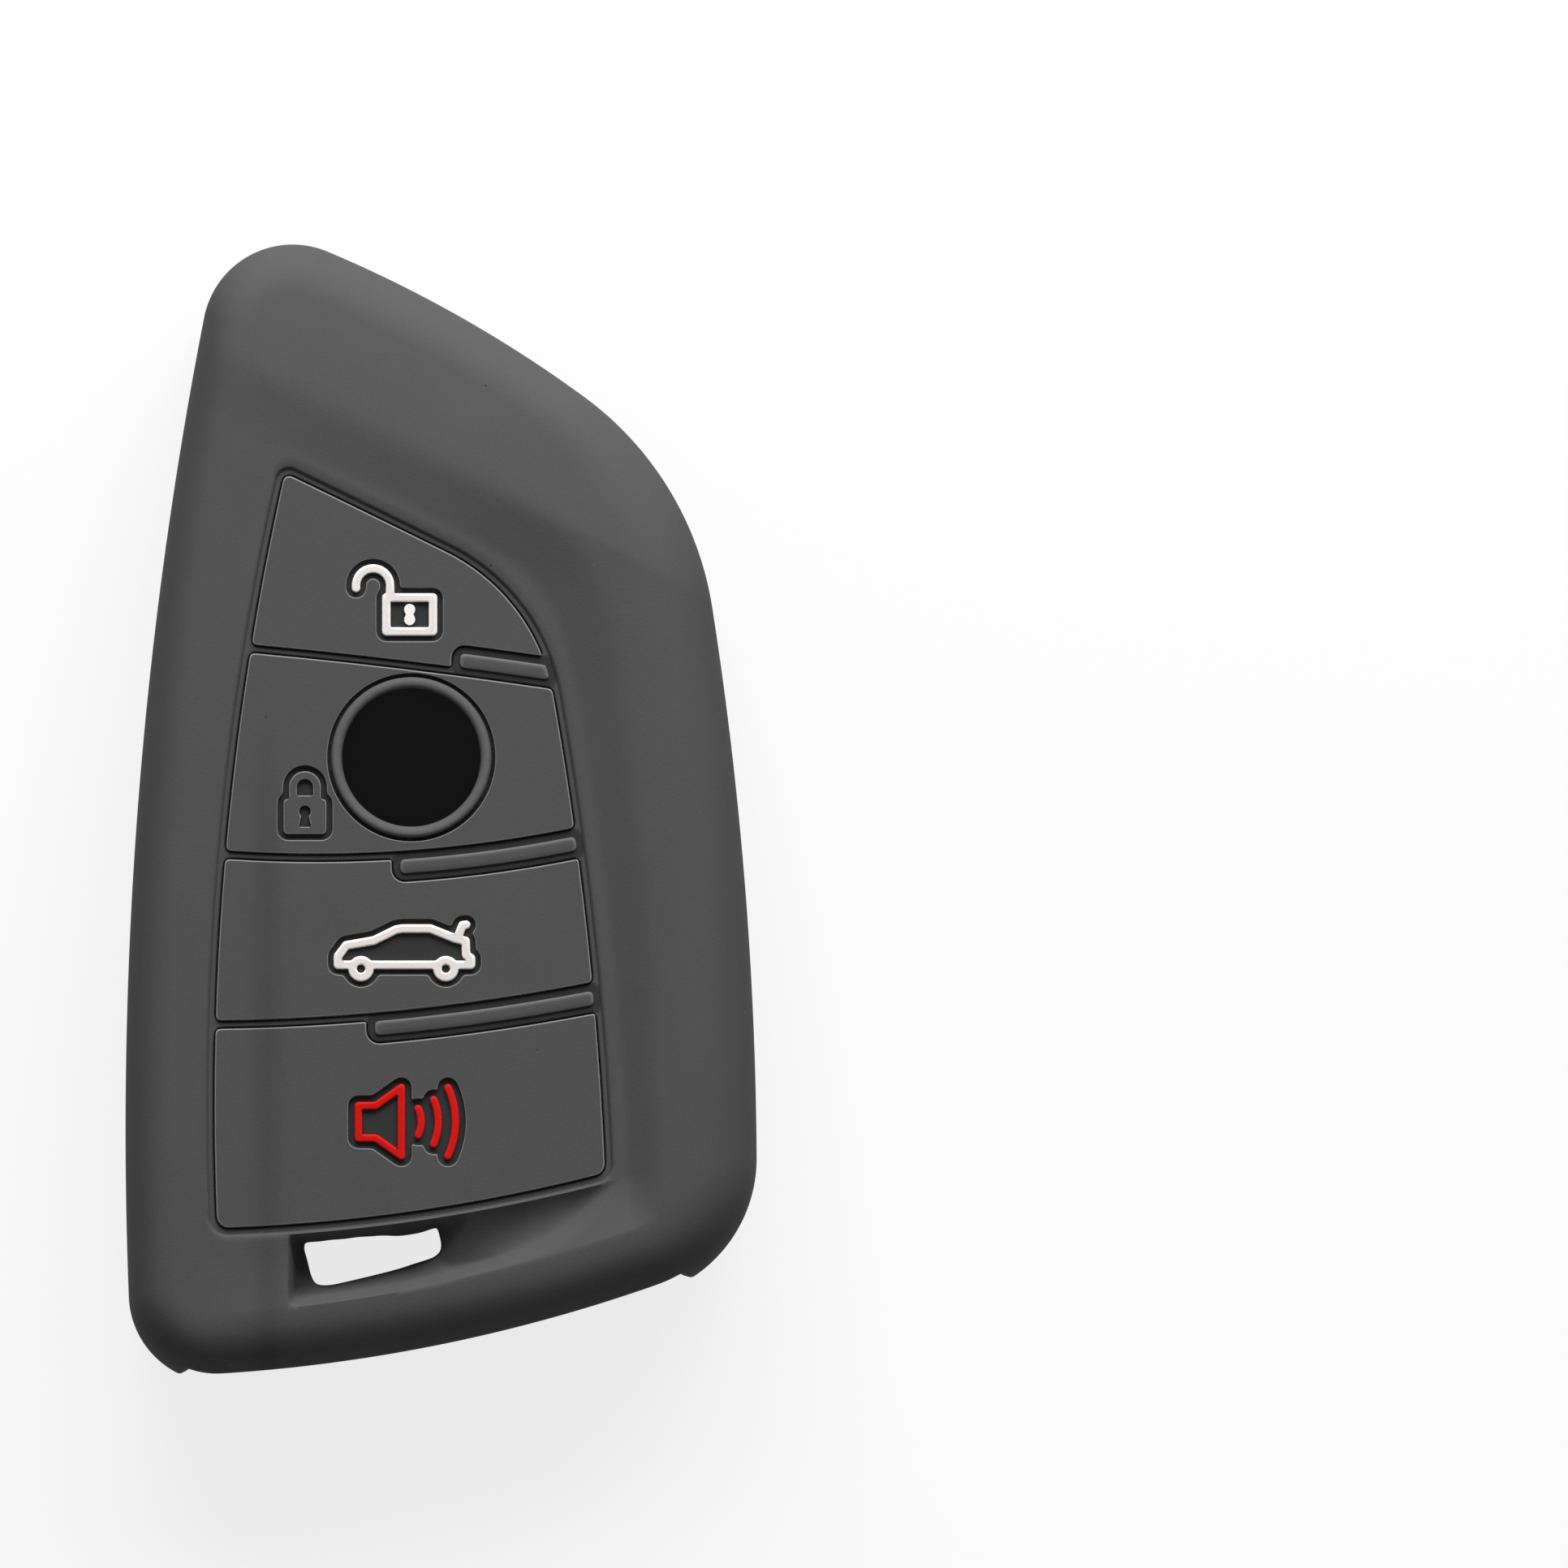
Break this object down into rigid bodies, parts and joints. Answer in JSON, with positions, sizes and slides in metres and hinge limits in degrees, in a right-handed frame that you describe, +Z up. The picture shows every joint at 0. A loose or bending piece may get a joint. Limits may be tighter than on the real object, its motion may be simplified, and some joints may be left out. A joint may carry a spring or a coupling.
{
  "type": "key fob cover",
  "caption": "Blade-shaped slip-on silicone cover for a car key fob, with pressable pictogram pads, a round emblem window, a mouth along the bottom edge and a key ring slot.",
  "frame": {"origin": "centre of the bounding box in plan, on the flat back that the cover lies on", "axes": "+X to the right seen from the button side, +Y along the cover to its tip, +Z up out of the buttons"},
  "size_m": [0.0496, 0.0888, 0.0165],
  "materials": {
    "grey_silicone": "matt dark grey moulded silicone with a fine dusty grain",
    "white_fill": "matt warm white pigmented silicone in the raised strokes",
    "red_fill": "matt red pigmented silicone in the raised strokes"
  },
  "bodies": {
    "sleeve": {"cover_sleeve": "grey_silicone", "unlock_web": "grey_silicone", "lock_web": "grey_silicone", "boot_web": "grey_silicone", "alarm_web": "grey_silicone", "upper_rib": "grey_silicone", "middle_rib": "grey_silicone", "lower_rib": "grey_silicone"},
    "unlock_button": {"unlock_pad": "grey_silicone", "unlock_icon": "white_fill", "unlock_keyhole": "white_fill"},
    "lock_button": {"lock_pad": "grey_silicone", "window_bead": "grey_silicone", "lock_icon": "grey_silicone"},
    "boot_button": {"boot_pad": "grey_silicone", "boot_icon": "white_fill"},
    "alarm_button": {"alarm_pad": "grey_silicone", "alarm_horn": "red_fill", "alarm_waves": "red_fill"}
  },
  "joints": [
    {"name": "unlock_press", "type": "slide", "parent": "sleeve", "child": "unlock_button", "axis": [0, 0, -1], "range_m": [0, 0.0006], "stiffness_N_per_m": 2500, "deforming": ["unlock_web"]},
    {"name": "lock_press", "type": "slide", "parent": "sleeve", "child": "lock_button", "axis": [0, 0, -1], "range_m": [0, 0.0006], "stiffness_N_per_m": 2500, "deforming": ["lock_web"]},
    {"name": "boot_press", "type": "slide", "parent": "sleeve", "child": "boot_button", "axis": [0, 0, -1], "range_m": [0, 0.0006], "stiffness_N_per_m": 2500, "deforming": ["boot_web"]},
    {"name": "alarm_press", "type": "slide", "parent": "sleeve", "child": "alarm_button", "axis": [0, 0, -1], "range_m": [0, 0.0006], "stiffness_N_per_m": 2500, "deforming": ["alarm_web"]}
  ]
}
